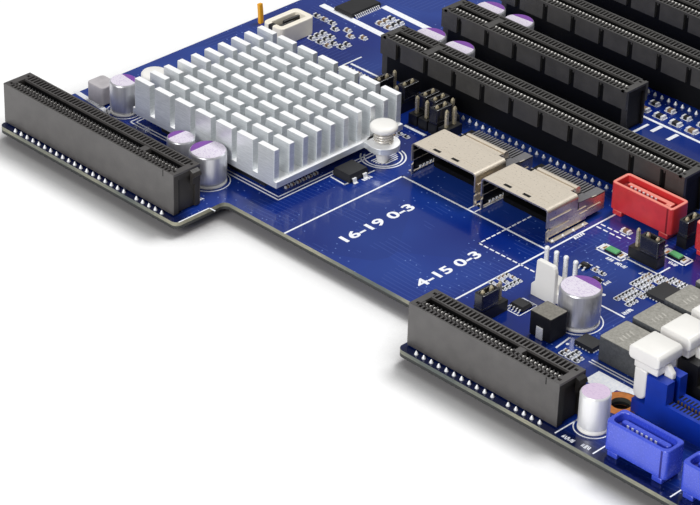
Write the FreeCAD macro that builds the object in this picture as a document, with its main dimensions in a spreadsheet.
import FreeCAD, Part
import os
import re
import Sketcher

# A server motherboard lying on its underside. +X runs along the card slots from the rear edge
# to the front edge, +Y from the near side edge to the far one, +Z up.
# Places are measured from the board's rear near corner, on its top face.

Vector = FreeCAD.Vector
doc = FreeCAD.newDocument("server_motherboard")
sizes = doc.addObject("Spreadsheet::Sheet", "sizes")

DIMENSIONS = {
    # bare board
    "board_length": 330.2, "board_width": 304.8, "board_thick": 1.6, "board_lift": 2.0,
    "corner_round": 1.5,
    "recess_start": 58.1, "recess_end": 122.1, "recess_depth": 14.0,
    "screw_hole": 4.0,
    "front_holes_x": 164.5, "front_holes_y": 17.4, "front_span_x": 157.5, "front_span_y": 270.0,
    "rear_holes_x": 10.2, "rear_holes_y": 160.0, "rear_span_x": 139.8, "rear_span_y": 132.0,
    "lock_length": 2.4, "lock_width": 1.2, "lock_inset": 4.8, "lock_clear": 0.15,
    # card slots
    "slot_width": 7.5, "slot_height": 10.4, "riser_height": 9.9,
    "slot_waist": 5.8, "slot_step": 0.7,
    "slot_groove": 1.9, "slot_groove_depth": 8.0, "slot_end": 1.6,
    "slot_key": 1.7, "slot_key_from_end": 13.0,
    "slot_panel_pitch": 8.6, "slot_panel_gap": 1.5, "slot_panel_first": 4.8,
    "slot_end_recess": 0.5, "slot_end_rim": 1.4, "slot_end_lip": 1.6,
    "x16_length": 88.7, "x8_length": 55.9, "x4_length": 38.7,
    "riser_eight_x": 0.2, "riser_eight_y": 1.6, "riser_eight_length": 55.4,
    "riser_four_x": 122.9, "riser_four_y": 2.0,
    "bank_x": 40.2, "bank_y": 79.1, "bank_pitch": 20.32,
    # chip cooler
    "cooler_x": 42.8, "cooler_y": 41.0, "cooler_length": 45.6, "cooler_width": 38.6,
    "cooler_base": 2.0, "cooler_height": 9.4,
    "fin_length": 5.0, "fin_thick": 1.2, "fin_pitch_x": 6.52, "fin_pitch_y": 4.07,
    "fin_columns": 7, "fin_rows": 10,
    "ear_x": 25.5, "ear_y": 10.3, "ear_size": 8.4,
    "chip_size": 33.0, "chip_thick": 2.6,
    "push_head": 5.8, "push_head_thick": 1.5, "push_shank": 2.6, "push_top": 8.9,
    "push_hole": 3.0, "push_tip": 1.4, "spring_outer": 4.6, "spring_inner": 3.2,
    # shielded drive sockets
    "cage_x": 77.1, "cage_y": 50.5, "cage_pitch": 20.3, "cage_width": 17.7, "cage_depth": 9.6,
    "cage_height": 7.8, "sheet_thick": 0.4, "insert_depth": 6.4, "insert_height": 4.6,
    "insert_start": 7.2, "tongue_thick": 1.2, "tongue_reach": 2.0, "tongue_lift": 1.4,
    "tongue_margin": 2.1,
    "cage_window_x": 3.6, "cage_window_pitch": 6.7, "cage_window_length": 1.8,
    "cage_window_y": 1.2, "cage_window_width": 0.8,
    # drive sockets
    "sata_wall": 1.0, "sata_depth": 5.6, "sata_height": 7.6, "sata_foot": 1.2,
    "sata_foot_length": 2.4, "sata_corner": 0.8,
    "sata_tongue": 1.2, "sata_tongue_margin": 1.4, "sata_tongue_drop": 0.8,
    "sata_key_length": 1.4, "sata_key_width": 0.9,
    "red_length": 16.5, "red_width": 5.6, "red_x": 116.3, "red_y": 70.7, "red_pitch": 22.6,
    "blue_length": 14.6, "blue_width": 5.3, "blue_x": 172.7, "blue_y": 2.4, "blue_pitch": 17.9,
    # pin headers
    "pin_size": 0.64, "pin_pitch": 2.54, "pin_height": 6.8, "header_height": 2.5,
    "shunt_height": 3.8, "shunt_lift": 2.5,
    "jumper_a_x": 48.4, "jumper_b_x": 53.9, "jumper_c_x": 60.3, "jumper_y": 67.7,
    "jumper_pitch": 3.0,
    "riser_jumper_x": 125.1, "riser_jumper_y": 18.4,
    "red_jumper_x": 130.6, "red_jumper_y": 59.8,
    "side_jumper_x": 134.6, "side_jumper_y": 70.6,
    "fan_x": 125.0, "fan_y": 33.9, "fan_length": 10.2, "fan_width": 6.8, "fan_base": 3.2,
    "fan_tab_x": 2.8, "fan_tab_length": 5.0, "fan_tab_thick": 1.1, "fan_tab_height": 8.8,
    "fan_pin_x": 0.9, "fan_pin_y": 4.6, "fan_pin_height": 9.1, "fan_pins": 4,
    # capacitor cans
    "edge_can_x": 13.4, "edge_can_y": 24.2, "edge_can_size": 5.8, "edge_can_height": 7.3,
    "slim_can_x": 40.4, "slim_can_gap": 1.1, "slim_can_size": 6.2, "slim_can_height": 6.9,
    "wide_can_x": 49.2, "wide_can_gap": 0.6, "wide_can_size": 7.6, "wide_can_height": 7.2,
    "fan_can_x": 140.0, "fan_can_y": 33.3, "fan_can_size": 8.6, "fan_can_height": 8.3,
    "corner_can_x": 165.1, "corner_can_y": 7.5, "corner_can_size": 6.3, "corner_can_height": 8.2,
    "bank_can_x": 44.6, "bank_can_pitch": 8.9, "bank_can_gap": 1.1, "bank_can_size": 7.6,
    "bank_can_height": 8.0,
    # inductors
    "edge_coil_x": 6.8, "edge_coil_y": 24.2, "edge_coil_length": 4.4, "edge_coil_width": 4.4,
    "edge_coil_height": 4.5,
    "fan_coil_x": 138.4, "fan_coil_y": 26.1, "fan_coil_length": 5.4, "fan_coil_width": 5.1,
    "fan_coil_height": 4.0,
    # chips
    "cooler_chip_x": 68.9, "cooler_chip_y": 41.9, "cooler_chip_length": 4.0,
    "cooler_chip_width": 5.0, "cooler_chip_height": 1.6,
    "edge_chip_x": 12.5, "edge_chip_y": 100.0, "edge_chip_length": 6.0,
    "edge_chip_width": 10.0, "edge_chip_height": 1.1,
    "memory_chip_x": 171.6, "memory_chip_y": 49.5, "memory_chip_length": 7.0,
    "memory_chip_width": 7.0, "memory_chip_height": 1.0,
    "manager_chip_x": 84.0, "manager_chip_y": 190.0, "manager_chip_length": 27.0,
    "manager_chip_width": 27.0, "manager_chip_height": 1.8,
    "network_chip_x": 40.0, "network_chip_y": 184.0, "network_chip_length": 10.0,
    "network_chip_width": 10.0, "network_chip_height": 1.0, "network_chip_pitch": 20.0,
    "clock_chip_x": 120.0, "clock_chip_y": 262.0, "clock_chip_length": 7.0,
    "clock_chip_width": 7.0, "clock_chip_height": 1.0,
    # power stage
    "choke_x": 151.5, "choke_y": 25.6, "choke_length": 11.0, "choke_width": 8.3,
    "choke_height": 5.6, "choke_pitch": 9.8, "choke_count": 4, "far_choke_y": 214.0,
    # memory sockets
    "dimm_x": 167.2, "dimm_y": 16.9, "dimm_pitch": 9.2, "far_dimm_y": 263.5,
    "dimm_length": 144.0, "dimm_width": 6.0, "dimm_bar": 5.0, "dimm_tower": 9.6,
    "dimm_tower_length": 8.0, "dimm_groove": 1.6, "dimm_groove_start": 4.6,
    "dimm_groove_depth": 3.6, "dimm_key_x": 70.0, "dimm_key": 1.6,
    "web_length": 3.1, "web_width": 2.6, "web_floor": 2.9, "web_height": 6.7,
    # latches of the memory sockets
    "latch_pivot_x": 1.3, "latch_pivot_z": 4.7, "latch_arm": 2.9, "latch_arm_thick": 1.2,
    "latch_arm_clear": 0.25, "trunnion": 1.94, "trunnion_hole": 2.1,
    "latch_pad_out": 1.4, "latch_pad_length": 7.4, "latch_pad_width": 7.0, "latch_pad_z": 11.8,
    "latch_top": 14.8, "latch_bevel": 0.6,
    "latch_neck_start": 1.0, "latch_neck_end": 6.7, "latch_neck_width": 5.6, "latch_neck": 1.9,
    "latch_nose_end": 8.6, "latch_nose_width": 1.2, "latch_nose_drop": 0.8,
    # processor sockets
    "cpu_x": 240.0, "cpu_y": 104.0, "far_cpu_y": 201.0,
    "cpu_base_length": 46.0, "cpu_base_width": 42.0, "cpu_window": 16.0, "cpu_height": 3.6,
    "frame_length": 74.0, "frame_width": 58.0, "frame_gap": 0.4,
    "cover_length": 52.0, "cover_width": 48.0, "cover_thick": 2.2,
    "cover_tab_length": 10.0, "cover_tab_width": 4.0,
    # power sockets
    "power_x": 316.0, "power_depth": 10.4, "power_height": 12.8, "power_wall": 1.2,
    "power_cell_depth": 10.0, "power_cell_pitch": 4.2,
    "main_power_y": 126.0, "near_power_y": 62.0, "far_power_y": 224.0,
    "main_cells": 12, "side_cells": 4,
    # rear ports
    "lan_y": 172.0, "lan_pitch": 19.0, "lan_length": 21.3, "lan_width": 16.4, "lan_height": 13.5,
    "lan_hole_width": 11.8, "lan_hole_height": 8.0, "lan_hole_depth": 12.0, "lan_hole_z": 2.6,
    "usb_y": 216.0, "usb_length": 17.6, "usb_width": 14.6, "usb_height": 15.6,
    "usb_hole_width": 12.6, "usb_hole_height": 5.2, "usb_hole_depth": 11.0, "usb_hole_z": 1.4,
    "usb_hole_pitch": 7.6,
    "video_y": 238.0, "video_length": 13.0, "video_width": 31.0, "video_height": 12.6,
    "video_shell_length": 5.6, "video_shell_width": 17.0, "video_shell_height": 8.4,
    # coin cell
    "cell_x": 100.0, "cell_y": 232.0, "cell_size": 20.0, "cell_thick": 3.2,
    "holder_size": 24.0, "holder_height": 4.4, "holder_floor": 1.4, "cell_clear": 0.3,
    # white box socket and strap at the rear edge
    "box_x": 8.6, "box_y": 71.6, "box_length": 7.2, "box_width": 10.6, "box_height": 6.2,
    "box_wall": 1.3, "box_depth": 4.6,
    "strap_x": 1.0, "strap_y": 79.6, "strap_length": 0.8, "strap_width": 2.4, "strap_height": 5.6,
}

for row, (alias, number) in enumerate(DIMENSIONS.items(), 1):
    sizes.set(f"A{row}", alias)
    sizes.set(f"B{row}", str(number))
    sizes.setAlias(f"B{row}", alias)
doc.recompute()

BOARD_TOP = "board_lift + board_thick"


# Expressions

def linked(text):
    """Write a formula of the sheet's names as an expression that points at its cells."""
    return re.sub(r"[a-z][a-z_]*\w*", lambda word: "sizes." + word.group(), str(text))


def value(text):
    """The number that a formula of the sheet's names gives."""
    return float(sizes.evalExpression(linked(text)))


def bind(item, name, text):
    item.setExpression(name, linked(text))


def on_board(item, x, y, z="0"):
    """Place a piece by its distance from the board's rear near corner, above its top face."""
    bind(item, "Placement.Base.x", f"{x} - board_length / 2")
    bind(item, "Placement.Base.y", f"{y} - board_width / 2")
    bind(item, "Placement.Base.z", f"{z} + {BOARD_TOP}")


# Primitive solids and booleans

def box(length, width, height, x, y, z="0"):
    item = doc.addObject("Part::Box", "block")
    bind(item, "Length", length)
    bind(item, "Width", width)
    bind(item, "Height", height)
    on_board(item, x, y, z)
    return item


def cylinder(size, height, x, y, z="0"):
    item = doc.addObject("Part::Cylinder", "round")
    bind(item, "Radius", f"({size}) / 2")
    bind(item, "Height", height)
    on_board(item, x, y, z)
    return item


def fuse(label, pieces):
    item = doc.addObject("Part::MultiFuse", label)
    item.Shapes = pieces
    return item


def cut(label, base, tools):
    item = doc.addObject("Part::Cut", label)
    item.Base = base
    item.Tool = tools[0] if len(tools) == 1 else fuse(label + "_tools", tools)
    return item


def group(label, pieces):
    item = doc.addObject("Part::Compound", label)
    item.Links = pieces
    return item


# Bodies made from sketches

def new_body(label, x, y, z="0"):
    body = doc.addObject("PartDesign::Body", label)
    on_board(body, x, y, z)
    return body


def new_sketch(body, role, height="0"):
    plane = next(item for item in body.Origin.OriginFeatures if item.Role == role)
    sketch = body.newObject("Sketcher::SketchObject", body.Label + "_sketch")
    sketch.AttachmentSupport = (plane, [""])
    sketch.MapMode = "FlatFace"
    bind(sketch, "AttachmentOffset.Base.z", height)
    return sketch


def hold(sketch, geometry, point, x, y):
    """Fix one point of a sketch at two formulas, both of them zero or more."""
    for kind, axis, text in (("DistanceX", -2, x), ("DistanceY", -1, y)):
        if text == "0":
            sketch.addConstraint(Sketcher.Constraint("PointOnObject", geometry, point, axis))
            continue
        rule = sketch.addConstraint(Sketcher.Constraint(kind, -1, 1, geometry, point, value(text)))
        bind(sketch, f"Constraints[{rule}]", text)


def draw_polygon(sketch, corners):
    points = [Vector(value(x), value(y), 0) for x, y in corners]
    count = len(points)
    first = sketch.GeometryCount
    for index, start in enumerate(points):
        sketch.addGeometry(Part.LineSegment(start, points[(index + 1) % count]), False)
    for index, (x, y) in enumerate(corners):
        here = first + index
        after = first + (index + 1) % count
        sketch.addConstraint(Sketcher.Constraint("Coincident", here, 2, after, 1))
        hold(sketch, here, 1, x, y)


def draw_rectangle(sketch, x0, y0, x1, y1):
    draw_polygon(sketch, [(x0, y0), (x1, y0), (x1, y1), (x0, y1)])


def draw_circle(sketch, x, y, size):
    centre = Vector(value(x), value(y), 0)
    index = sketch.addGeometry(Part.Circle(centre, Vector(0, 0, 1), value(size) / 2), False)
    hold(sketch, index, 3, x, y)
    rule = sketch.addConstraint(Sketcher.Constraint("Diameter", index, value(size)))
    bind(sketch, f"Constraints[{rule}]", size)


def pad(body, sketch, length, reverse=False, middle=False):
    item = body.newObject("PartDesign::Pad", body.Label + "_pad")
    item.Profile = sketch
    item.Reversed = reverse
    item.Midplane = middle
    bind(item, "Length", length)
    return item


def pocket(body, sketch, length, reverse=False, middle=False):
    doc.recompute()
    before = body.Shape.Volume
    item = body.newObject("PartDesign::Pocket", body.Label + "_pocket")
    item.Profile = sketch
    item.Reversed = reverse
    item.Midplane = middle
    bind(item, "Length", length)
    doc.recompute()
    if body.Shape.Volume > before - 0.01:
        raise RuntimeError(f"a pocket in {body.Label} cuts nothing")
    return item


def pattern(body, feature, sketch, axis, pitch, count):
    item = body.newObject("PartDesign::LinearPattern", body.Label + "_pattern")
    item.Originals = [feature]
    item.Direction = (sketch, [axis])
    bind(item, "Length", f"({pitch}) * ({count} - 1)")
    bind(item, "Occurrences", count)
    body.Tip = item
    return item


# Board

CARD_SLOTS = (
    ("card_slot_a", "x16_length", 0),
    ("card_slot_b", "x8_length", 1),
    ("card_slot_c", "x16_length", 2),
    ("card_slot_d", "x8_length", 3),
)
MEMORY_ROWS = [f"dimm_y + {row} * dimm_pitch" for row in range(3)]
MEMORY_ROWS += [f"far_dimm_y + {row} * dimm_pitch" for row in range(3)]
EARS = (1, -1)


def lock_places():
    """Rear near corners of the flat locks below the card slots and the memory sockets."""
    runs = [("riser_eight_x", "riser_eight_y", "riser_eight_length", "slot_width"),
            ("riser_four_x", "riser_four_y", "x4_length", "slot_width")]
    for _, length, row in CARD_SLOTS:
        runs.append(("bank_x", f"bank_y + {row} * bank_pitch", length, "slot_width"))
    for row in MEMORY_ROWS:
        runs.append(("dimm_x", row, "dimm_length", "dimm_width"))
    places = []
    for x, y, length, width in runs:
        for start in lock_starts(length):
            places.append((f"{x} + {start}", f"{y} + ({width} - lock_width) / 2"))
    return places


def lock_starts(length):
    return "lock_inset", f"{length} - lock_inset - lock_length"


def add_locks(body, length, width):
    locks = new_sketch(body, "XY_Plane")
    for start in lock_starts(length):
        draw_rectangle(locks, start, f"({width} - lock_width) / 2",
                       f"{start} + lock_length", f"({width} + lock_width) / 2")
    pad(body, locks, BOARD_TOP, reverse=True)


def screw_places():
    places = []
    for across in (0, 1):
        for along in (0, 1):
            places.append((f"front_holes_x + {along} * front_span_x",
                           f"front_holes_y + {across} * front_span_y"))
            places.append((f"rear_holes_x + {along} * rear_span_x",
                           f"rear_holes_y + {across} * rear_span_y"))
    return places


BOARD_OUTLINE = (
    ("0", "0"), ("recess_start", "0"), ("recess_start", "recess_depth"),
    ("recess_end", "recess_depth"), ("recess_end", "0"), ("board_length", "0"),
    ("board_length", "board_width"), ("0", "board_width"),
)


def make_board():
    body = new_body("board", "0", "0", "-board_thick")
    outline = new_sketch(body, "XY_Plane")
    draw_polygon(outline, BOARD_OUTLINE)
    plain = pad(body, outline, "board_thick")
    doc.recompute()
    rounding = body.newObject("PartDesign::Fillet", "board_corners")
    rounding.Base = (plain, upright_edges(plain.Shape))
    bind(rounding, "Radius", "corner_round")
    holes = new_sketch(body, "XY_Plane", "board_thick")
    for x, y in screw_places():
        draw_circle(holes, x, y, "screw_hole")
    for x, y in lock_places():
        draw_rectangle(holes, f"{x} - lock_clear", f"{y} - lock_clear",
                       f"{x} + lock_length + lock_clear", f"{y} + lock_width + lock_clear")
    for side in EARS:
        draw_circle(holes, f"cooler_x + {side} * ear_x", f"cooler_y + {side} * ear_y", "push_hole")
    pocket(body, holes, "board_thick")
    return body


def upright_edges(shape):
    """Names of a plate's upright edges, the corners of its outline."""
    names = []
    for number, edge in enumerate(shape.Edges, 1):
        start, end = (vertex.Point for vertex in edge.Vertexes)
        if abs(start.z - end.z) > value("board_thick") / 2:
            names.append(f"Edge{number}")
    return names


# Card slots

def make_slot(label, x, y, length, height, key, panels):
    """A card slot's moulded housing: card groove in two runs, a key between, flat locks below."""
    body = new_body(label, x, y)
    section = new_sketch(body, "YZ_Plane")
    if panels:
        draw_polygon(section, [
            ("slot_step", "0"), ("slot_width - slot_step", "0"),
            ("slot_width - slot_step", "slot_waist"), ("slot_width", "slot_waist"),
            ("slot_width", height), ("0", height), ("0", "slot_waist"),
            ("slot_step", "slot_waist")])
    else:
        draw_rectangle(section, "0", "0", "slot_width", height)
    pad(body, section, length)
    for end, reverse in (("0", True), (length, False)):
        recess = new_sketch(body, "YZ_Plane", end)
        draw_rectangle(recess, "slot_end_rim", "0", "slot_width - slot_end_rim",
                       f"{height} - slot_end_lip")
        pocket(body, recess, "slot_end_recess", reverse)
    grooves = new_sketch(body, "XY_Plane", height)
    low = "(slot_width - slot_groove) / 2"
    high = "(slot_width + slot_groove) / 2"
    draw_rectangle(grooves, "slot_end", low, f"{key} - slot_key / 2", high)
    draw_rectangle(grooves, f"{key} + slot_key / 2", low, f"{length} - slot_end", high)
    pocket(body, grooves, "slot_groove_depth")
    if panels:
        for side in ("0", "slot_width - slot_step"):
            gaps = new_sketch(body, "XY_Plane", height)
            draw_rectangle(gaps, "slot_panel_first", side,
                           "slot_panel_first + slot_panel_gap", f"{side} + slot_step")
            first = pocket(body, gaps, f"{height} - slot_waist")
            count = int((value(length) - value("slot_panel_first")) / value("slot_panel_pitch")) + 1
            pattern(body, first, gaps, "H_Axis", "slot_panel_pitch", count)
    add_locks(body, length, "slot_width")
    return body


def make_slots():
    made = [make_slot("riser_slot_x8", "riser_eight_x", "riser_eight_y", "riser_eight_length",
                      "riser_height", "riser_eight_length - slot_key_from_end", False),
            make_slot("riser_slot_x4", "riser_four_x", "riser_four_y", "x4_length",
                      "riser_height", "x4_length - slot_key_from_end", False)]
    made += [make_slot(label, "bank_x", f"bank_y + {row} * bank_pitch", length,
                       "slot_height", "slot_key_from_end", True)
             for label, length, row in CARD_SLOTS]
    return made


# Chip cooler

def make_cooler():
    """One aluminium piece: base plate, a grid of upright fins and two ears on a diagonal."""
    body = new_body("chip_cooler", "cooler_x - cooler_length / 2", "cooler_y - cooler_width / 2",
                    "chip_thick")
    base = new_sketch(body, "XY_Plane")
    draw_rectangle(base, "0", "0", "cooler_length", "cooler_width")
    pad(body, base, "cooler_base")
    fins = new_sketch(body, "XY_Plane", "cooler_base")
    margin_x = "(cooler_length - fin_pitch_x * (fin_columns - 1) - fin_length) / 2"
    margin_y = "(cooler_width - fin_pitch_y * (fin_rows - 1) - fin_thick) / 2"
    for column in range(int(value("fin_columns"))):
        left = f"{margin_x} + {column} * fin_pitch_x"
        draw_rectangle(fins, left, margin_y, f"{left} + fin_length", f"{margin_y} + fin_thick")
    row = pad(body, fins, "cooler_height - cooler_base")
    pattern(body, row, fins, "V_Axis", "fin_pitch_y", "fin_rows")
    ears = []
    for side in EARS:
        x = f"cooler_x + {side} * ear_x"
        y = f"cooler_y + {side} * ear_y"
        ears.append(cylinder("ear_size", "cooler_base", x, y, "chip_thick"))
        ears.append(box("ear_x", "ear_size", "cooler_base", f"cooler_x + ({side} - 1) / 2 * ear_x",
                        f"{y} - ear_size / 2", "chip_thick"))
    whole = fuse("cooler_blank", [body] + ears)
    bores = [cylinder("push_hole", "cooler_base", f"cooler_x + {side} * ear_x",
                      f"cooler_y + {side} * ear_y", "chip_thick") for side in EARS]
    return cut("heat_sink", whole, bores)


def make_chip():
    package = box("chip_size", "chip_size", "chip_thick", "cooler_x - chip_size / 2",
                  "cooler_y - chip_size / 2")
    return group("cooled_chip", [package])


def make_push_pins():
    pins = []
    springs = []
    for number, side in enumerate(EARS):
        x = f"cooler_x + {side} * ear_x"
        y = f"cooler_y + {side} * ear_y"
        head = cylinder("push_head", "push_head_thick", x, y, "push_top - push_head_thick")
        shank = cylinder("push_shank", "push_top + board_thick + push_tip", x, y,
                         "-board_thick - push_tip")
        pins.append(fuse(f"push_pin_{number}", [head, shank]))
        rest = "(chip_thick + cooler_base)"
        outer = cylinder("spring_outer", f"push_top - push_head_thick - {rest}", x, y, rest)
        inner = cylinder("spring_inner", f"push_top - push_head_thick - {rest}", x, y, rest)
        springs.append(cut(f"push_spring_{number}", outer, [inner]))
    return [group("push_pins", pins), group("push_pin_springs", springs)]


# Shielded drive sockets

def make_cage(number):
    """A folded sheet shell, open at the front and below, with its back wall bent down."""
    body = new_body(f"drive_cage_{number + 1}", f"cage_x + {number} * cage_pitch", "cage_y")
    section = new_sketch(body, "XZ_Plane")
    draw_polygon(section, [
        ("0", "0"), ("sheet_thick", "0"), ("sheet_thick", "cage_height - sheet_thick"),
        ("cage_width - sheet_thick", "cage_height - sheet_thick"),
        ("cage_width - sheet_thick", "0"), ("cage_width", "0"), ("cage_width", "cage_height"),
        ("0", "cage_height")])
    pad(body, section, "cage_depth", reverse=True)
    windows = new_sketch(body, "XY_Plane", "cage_height")
    for side in (0, 1):
        left = f"cage_window_x + {side} * cage_window_pitch"
        draw_rectangle(windows, left, "cage_window_y", f"{left} + cage_window_length",
                       "cage_window_y + cage_window_width")
    pocket(body, windows, "2 * sheet_thick")
    return body


def make_inserts():
    """The black contact blocks inside the cages, each with a tongue towards the open front."""
    inserts = []
    for number in (0, 1):
        x = f"cage_x + {number} * cage_pitch + sheet_thick"
        inner = "cage_width - 2 * sheet_thick"
        block = box(inner, "insert_depth", "insert_height", x, "cage_y + insert_start")
        tongue = box(f"{inner} - 2 * tongue_margin", "tongue_reach", "tongue_thick",
                     f"{x} + tongue_margin", "cage_y + insert_start - tongue_reach", "tongue_lift")
        inserts.append(fuse(f"drive_insert_{number}", [block, tongue]))
    return group("drive_cage_inserts", inserts)


# Drive sockets

def make_sata(label, length, width, x, y):
    """An upright drive socket: a wall around a deep slot, a keyed contact tongue in it, two feet."""
    body = new_body(label, x, y)
    outline = new_sketch(body, "XY_Plane", "sata_foot")
    draw_polygon(outline, [
        ("sata_corner", "0"), (f"{length} - sata_corner", "0"), (length, "sata_corner"),
        (length, f"{width} - sata_corner"), (f"{length} - sata_corner", width),
        ("sata_corner", width), ("0", f"{width} - sata_corner"), ("0", "sata_corner")])
    pad(body, outline, "sata_height - sata_foot")
    hollow = new_sketch(body, "XY_Plane", "sata_height")
    draw_rectangle(hollow, "sata_wall", "sata_wall", f"{length} - sata_wall", f"{width} - sata_wall")
    pocket(body, hollow, "sata_depth")
    tongue = new_sketch(body, "XY_Plane", "sata_height - sata_depth")
    start = "sata_wall + sata_tongue_margin"
    end = f"{length} - sata_wall - sata_tongue_margin"
    low = f"({width} - sata_tongue) / 2"
    high = f"({width} + sata_tongue) / 2"
    draw_polygon(tongue, [
        (start, low), (end, low), (end, f"{high} + sata_key_width"),
        (f"{end} - sata_key_length", f"{high} + sata_key_width"),
        (f"{end} - sata_key_length", high), (start, high)])
    pad(body, tongue, "sata_depth - sata_tongue_drop")
    feet = new_sketch(body, "XY_Plane")
    for left in ("sata_corner", f"{length} - sata_corner - sata_foot_length"):
        draw_rectangle(feet, left, "0", f"{left} + sata_foot_length", width)
    pad(body, feet, "sata_foot")
    return body


def make_sata_sockets():
    made = []
    for number in (0, 1):
        made.append(make_sata(f"red_drive_socket_{number + 1}", "red_length", "red_width",
                              f"red_x + {number} * red_pitch", "red_y"))
    for number in (0, 1):
        made.append(make_sata(f"blue_drive_socket_{number + 1}", "blue_length", "blue_width",
                              f"blue_x + {number} * blue_pitch", "blue_y"))
    return made


# Pin headers: rear near corner, direction of the row, pins, and the pin at which the shunt starts

HEADERS = (
    ("jumper_a_x", "jumper_y", "y", 3, 0),
    ("jumper_b_x", "jumper_y", "y", 3, 1),
    ("jumper_c_x", "jumper_y", "y", 3, 1),
    ("jumper_c_x + jumper_pitch", "jumper_y", "y", 3, 1),
    ("jumper_c_x + 2 * jumper_pitch", "jumper_y", "y", 3, 0),
    ("jumper_c_x + 3 * jumper_pitch", "jumper_y", "y", 2, None),
    ("riser_jumper_x", "riser_jumper_y", "y", 3, 0),
    ("red_jumper_x", "red_jumper_y", "x", 3, 1),
    ("side_jumper_x", "side_jumper_y", "y", 2, 0),
)


def make_headers():
    """Header strips, their square pins, and the shunts that bridge two pins of each."""
    strips = []
    pins = []
    shunts = []
    half = "(pin_pitch - pin_size) / 2"
    for number, (x, y, way, count, start) in enumerate(HEADERS):
        step_x, step_y = (1, 0) if way == "x" else (0, 1)
        holes = []
        for index in range(count):
            pin_x = f"{x} + {index * step_x} * pin_pitch + {half}"
            pin_y = f"{y} + {index * step_y} * pin_pitch + {half}"
            pins.append(box("pin_size", "pin_size", "pin_height", pin_x, pin_y))
            holes.append(box("pin_size", "pin_size", "pin_height", pin_x, pin_y))
        strip = box(f"pin_pitch * {1 + step_x * (count - 1)}", f"pin_pitch * {1 + step_y * (count - 1)}",
                    "header_height", x, y)
        strips.append(cut(f"header_strip_{number}", strip, holes))
        if start is None:
            continue
        cap = box(f"pin_pitch * {1 + step_x}", f"pin_pitch * {1 + step_y}", "shunt_height",
                  f"{x} + {start * step_x} * pin_pitch", f"{y} + {start * step_y} * pin_pitch",
                  "shunt_lift")
        shunts.append(cut(f"header_shunt_{number}", cap, holes[start:start + 2]))
    for x, y in fan_pin_places():
        pins.append(box("pin_size", "pin_size", "fan_pin_height", x, y))
    return [group("header_strips", strips), group("header_pins", pins),
            group("jumper_shunts", shunts)]


def fan_pin_places():
    return [(f"fan_x + fan_pin_x + {index} * pin_pitch", "fan_y + fan_pin_y")
            for index in range(int(value("fan_pins")))]


def make_fan_header():
    base = box("fan_length", "fan_width", "fan_base", "fan_x", "fan_y")
    tab = box("fan_tab_length", "fan_tab_thick", "fan_tab_height", "fan_x + fan_tab_x", "fan_y")
    holes = [box("pin_size", "pin_size", "fan_base", x, y) for x, y in fan_pin_places()]
    return cut("fan_header", fuse("fan_header_blank", [base, tab]), holes)


# Capacitors, inductors and chips: place of each, and the name that its sizes start with

COOLER_EDGE = "cooler_y - cooler_width / 2"
CAPACITORS = [
    ("edge_can_x", "edge_can_y", "edge_can"),
    ("slim_can_x", f"{COOLER_EDGE} - slim_can_gap - slim_can_size / 2", "slim_can"),
    ("wide_can_x", f"{COOLER_EDGE} - wide_can_gap - wide_can_size / 2", "wide_can"),
    ("fan_can_x", "fan_can_y", "fan_can"),
    ("corner_can_x", "corner_can_y", "corner_can"),
]
for row in (0, 1):
    for column in (0, 1):
        CAPACITORS.append((
            f"bank_can_x + {column} * bank_can_pitch",
            f"bank_y + {row} * bank_pitch + slot_width + bank_can_gap + bank_can_size / 2",
            "bank_can"))
INDUCTORS = (
    ("edge_coil_x", "edge_coil_y", "edge_coil"),
    ("fan_coil_x", "fan_coil_y", "fan_coil"),
)
CHIPS = (
    ("cooler_chip_x", "cooler_chip_y", "cooler_chip"),
    ("edge_chip_x", "edge_chip_y", "edge_chip"),
    ("memory_chip_x", "memory_chip_y", "memory_chip"),
    ("manager_chip_x", "manager_chip_y", "manager_chip"),
    ("network_chip_x", "network_chip_y", "network_chip"),
    ("network_chip_x", "network_chip_y + network_chip_pitch", "network_chip"),
    ("clock_chip_x", "clock_chip_y", "clock_chip"),
)


def make_capacitors():
    return group("capacitor_cans", [cylinder(f"{name}_size", f"{name}_height", x, y)
                                    for x, y, name in CAPACITORS])


def make_blocks(label, places):
    return group(label, [plate(f"{name}_length", f"{name}_width", f"{name}_height", x, y)
                         for x, y, name in places])


def make_chokes():
    chokes = []
    for start in ("choke_y", "far_choke_y"):
        for index in range(int(value("choke_count"))):
            chokes.append(box("choke_length", "choke_width", "choke_height", "choke_x",
                              f"{start} + {index} * choke_pitch"))
    return group("power_chokes", chokes)


# Memory sockets and their latches

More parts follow.
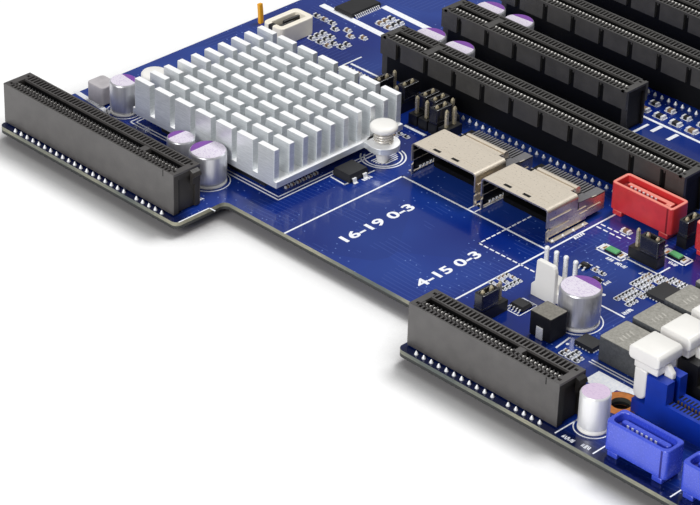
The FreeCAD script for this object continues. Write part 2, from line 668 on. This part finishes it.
def make_memory_socket(number, row):
    """A moulded bar with a keyed groove, a tower at each end, and beyond it the web for a latch."""
    body = new_body(f"memory_socket_{number}", "dimm_x", row)
    far_web = "dimm_length - web_length"
    far_tower = "dimm_length - dimm_tower_length"
    profile = new_sketch(body, "XZ_Plane")
    draw_polygon(profile, [
        ("0", "0"), ("dimm_length", "0"), ("dimm_length", "web_floor"), (far_web, "web_floor"),
        (far_web, "dimm_tower"), (far_tower, "dimm_tower"), (far_tower, "dimm_bar"),
        ("dimm_tower_length", "dimm_bar"), ("dimm_tower_length", "dimm_tower"),
        ("web_length", "dimm_tower"), ("web_length", "web_floor"), ("0", "web_floor")])
    pad(body, profile, "dimm_width", reverse=True)
    webs = new_sketch(body, "XZ_Plane", "-(dimm_width - web_width) / 2")
    draw_rectangle(webs, "0", "web_floor", "web_length", "web_height")
    draw_rectangle(webs, far_web, "web_floor", "dimm_length", "web_height")
    pad(body, webs, "web_width", reverse=True)
    groove = new_sketch(body, "XY_Plane", "dimm_tower")
    low = "(dimm_width - dimm_groove) / 2"
    high = "(dimm_width + dimm_groove) / 2"
    draw_rectangle(groove, "dimm_groove_start", low, "dimm_key_x - dimm_key / 2", high)
    draw_rectangle(groove, "dimm_key_x + dimm_key / 2", low, "dimm_length - dimm_groove_start", high)
    pocket(body, groove, "dimm_tower - dimm_bar + dimm_groove_depth")
    bores = new_sketch(body, "XZ_Plane")
    draw_circle(bores, "latch_pivot_x", "latch_pivot_z", "trunnion_hole")
    draw_circle(bores, "dimm_length - latch_pivot_x", "latch_pivot_z", "trunnion_hole")
    pocket(body, bores, "dimm_width")
    add_locks(body, "dimm_length", "dimm_width")
    return body


def make_latch(number, row, end):
    """A latch: a finger pad on a neck, two round-ended arms beside the socket's web, an axle
    between them, and the nose that holds the memory card."""
    front = end == "front"
    body = new_body(f"memory_latch_{number}_{end}",
                    "dimm_x + dimm_length + latch_pad_out" if front else "dimm_x - latch_pad_out",
                    f"{row} + dimm_width / 2")
    if front:
        body.Placement.Rotation = FreeCAD.Rotation(Vector(0, 0, 1), 180)
    pivot = "latch_pad_out + latch_pivot_x"
    neck_low = "latch_pad_z - latch_neck"
    span = "web_width + 2 * latch_arm_clear"
    finger = new_sketch(body, "XZ_Plane")
    draw_polygon(finger, [
        ("0", "latch_pad_z + latch_bevel"), ("latch_bevel", "latch_pad_z"),
        ("latch_pad_length - latch_bevel", "latch_pad_z"),
        ("latch_pad_length", "latch_pad_z + latch_bevel"),
        ("latch_pad_length", "latch_top - latch_bevel"),
        ("latch_pad_length - latch_bevel", "latch_top"),
        ("latch_bevel", "latch_top"), ("0", "latch_top - latch_bevel")])
    pad(body, finger, "latch_pad_width", middle=True)
    neck = new_sketch(body, "XZ_Plane")
    draw_polygon(neck, [
        ("latch_neck_start", "latch_pad_z"), ("latch_neck_start", f"{neck_low} + latch_bevel"),
        ("latch_neck_start + latch_bevel", neck_low), ("latch_neck_end - latch_bevel", neck_low),
        ("latch_neck_end", f"{neck_low} + latch_bevel"), ("latch_neck_end", "latch_pad_z")])
    pad(body, neck, "latch_neck_width", middle=True)
    nose = new_sketch(body, "XZ_Plane")
    draw_polygon(nose, [
        ("latch_neck_end - latch_bevel", "latch_pad_z"),
        ("latch_neck_end - latch_bevel", neck_low),
        ("latch_nose_end", f"{neck_low} - latch_nose_drop"), ("latch_nose_end", neck_low),
        ("latch_pad_length", "latch_pad_z")])
    pad(body, nose, "latch_nose_width", middle=True)
    arms = new_sketch(body, "XZ_Plane")
    draw_rectangle(arms, f"{pivot} - latch_arm / 2", "latch_pivot_z",
                   f"{pivot} + latch_arm / 2", f"{neck_low} + latch_bevel")
    pad(body, arms, f"{span} + 2 * latch_arm_thick", middle=True)
    ends = new_sketch(body, "XZ_Plane")
    draw_circle(ends, pivot, "latch_pivot_z", "latch_arm")
    pad(body, ends, f"{span} + 2 * latch_arm_thick", middle=True)
    gap = new_sketch(body, "XZ_Plane")
    draw_rectangle(gap, f"{pivot} - latch_arm / 2", "latch_pivot_z - latch_arm / 2",
                   f"{pivot} + latch_arm / 2", neck_low)
    pocket(body, gap, span, middle=True)
    axle = new_sketch(body, "XZ_Plane")
    draw_circle(axle, pivot, "latch_pivot_z", "trunnion")
    pad(body, axle, f"{span} + latch_arm_thick", middle=True)
    return body


def make_memory():
    made = []
    for number, row in enumerate(MEMORY_ROWS, 1):
        made.append(make_memory_socket(number, row))
        made.append(make_latch(number, row, "rear"))
        made.append(make_latch(number, row, "front"))
    return made


# Processor sockets

def plate(length, width, height, x, y, z="0"):
    return box(length, width, height, f"{x} - ({length}) / 2", f"{y} - ({width}) / 2", z)


def make_processor_sockets():
    bases = []
    frames = []
    covers = []
    backs = []
    for number, y in enumerate(("cpu_y", "far_cpu_y")):
        x = "cpu_x"
        base = plate("cpu_base_length", "cpu_base_width", "cpu_height", x, y)
        window = plate("cpu_window", "cpu_window", "cpu_height", x, y)
        bases.append(cut(f"processor_base_{number}", base, [window]))
        outer = plate("frame_length", "frame_width", "cpu_height", x, y)
        inner = plate("cpu_base_length + 2 * frame_gap", "cpu_base_width + 2 * frame_gap",
                      "cpu_height", x, y)
        frames.append(cut(f"processor_frame_{number}", outer, [inner]))
        cover = plate("cover_length", "cover_width", "cover_thick", x, y, "cpu_height")
        tab = box("cover_tab_length", "cover_tab_width", "cover_thick",
                  f"{x} - cover_tab_length / 2", f"{y} + cover_width / 2", "cpu_height")
        covers.append(fuse(f"processor_cover_{number}", [cover, tab]))
        backs.append(plate("frame_length", "frame_width", "board_lift", x, y,
                           f"-({BOARD_TOP})"))
    return [group("processor_sockets", bases), group("processor_frames", frames),
            group("processor_covers", covers), group("processor_backplates", backs)]


# Power sockets and rear ports

def make_power_socket(label, y, cells):
    """A white power socket: a block with two rows of square wells."""
    size = "power_cell_pitch - power_wall"
    length = f"{cells} * power_cell_pitch + power_wall"
    block = box("power_depth", length, "power_height", "power_x", y)
    wells = []
    for column in (0, 1):
        for row in range(int(value(cells))):
            wells.append(box(size, size, "power_cell_depth",
                             f"power_x + power_depth / 2 + ({column} - 1) * power_cell_pitch + power_wall / 2",
                             f"{y} + power_wall + {row} * power_cell_pitch",
                             "power_height - power_cell_depth"))
    return cut(label, block, wells)


def make_power_sockets():
    return [make_power_socket("main_power_socket", "main_power_y", "main_cells"),
            make_power_socket("processor_power_socket_1", "near_power_y", "side_cells"),
            make_power_socket("processor_power_socket_2", "far_power_y", "side_cells")]


def make_ports():
    lans = []
    for number in (0, 1):
        y = f"lan_y + {number} * lan_pitch"
        shell = box("lan_length", "lan_width", "lan_height", "0", y)
        hole = box("lan_hole_depth", "lan_hole_width", "lan_hole_height", "0",
                   f"{y} + (lan_width - lan_hole_width) / 2", "lan_hole_z")
        lans.append(cut(f"network_port_{number + 1}", shell, [hole]))
    shell = box("usb_length", "usb_width", "usb_height", "0", "usb_y")
    holes = [box("usb_hole_depth", "usb_hole_width", "usb_hole_height", "0",
                 "usb_y + (usb_width - usb_hole_width) / 2",
                 f"usb_hole_z + {level} * usb_hole_pitch") for level in (0, 1)]
    usb = cut("serial_bus_port", shell, holes)
    block = box("video_length - video_shell_length", "video_width", "video_height",
                "video_shell_length", "video_y")
    collar = box("video_shell_length", "video_shell_width", "video_shell_height", "0",
                 "video_y + (video_width - video_shell_width) / 2",
                 "(video_height - video_shell_height) / 2")
    return lans + [usb, fuse("video_port", [block, collar])]


# Coin cell, white box socket and strap

def make_small_parts():
    outer = cylinder("holder_size", "holder_height", "cell_x", "cell_y")
    seat = cylinder("cell_size + 2 * cell_clear", "holder_height - holder_floor", "cell_x", "cell_y",
                    "holder_floor")
    holder = cut("cell_holder", outer, [seat])
    cell = group("coin_cell", [cylinder("cell_size", "cell_thick", "cell_x", "cell_y", "holder_floor")])
    block = box("box_length", "box_width", "box_height", "box_x", "box_y")
    hollow = box("box_length - 2 * box_wall", "box_width - 2 * box_wall", "box_depth",
                 "box_x + box_wall", "box_y + box_wall", "box_height - box_depth")
    socket = cut("white_box_socket", block, [hollow])
    strap = group("edge_strap", [box("strap_length", "strap_width", "strap_height", "strap_x", "strap_y")])
    return [holder, cell, socket, strap]


def make_all():
    nodes = [make_board()]
    nodes += make_slots()
    nodes += [make_cooler(), make_chip()]
    nodes += make_push_pins()
    nodes += [make_cage(0), make_cage(1), make_inserts()]
    nodes += make_sata_sockets()
    nodes += make_headers()
    nodes += [make_fan_header(), make_capacitors()]
    nodes += [make_blocks("inductor_blocks", INDUCTORS), make_blocks("chip_packages", CHIPS)]
    nodes += [make_chokes()]
    nodes += make_memory()
    nodes += make_processor_sockets()
    nodes += make_power_sockets()
    nodes += make_ports()
    nodes += make_small_parts()
    return nodes


def write_all(nodes):
    doc.recompute()
    for item in doc.Objects:
        if "Invalid" in item.State or "Error" in item.State:
            raise RuntimeError(f"{item.Label} failed: {item.State}")
    for node in nodes:
        if node.Shape.isNull() or not node.Shape.isValid():
            raise RuntimeError(f"{node.Label} has no valid shape")
    os.makedirs("parts", exist_ok=True)
    for node in nodes:
        node.Shape.exportStep(f"parts/{node.Label}.step")
        box_size = node.Shape.BoundBox
        print(f"{node.Label}: {len(node.Shape.Solids)} solids, {node.Shape.Volume:.0f} mm3, "
              f"z {box_size.ZMin:.2f} to {box_size.ZMax:.2f}")
    print(len(nodes), "nodes")


write_all(make_all())
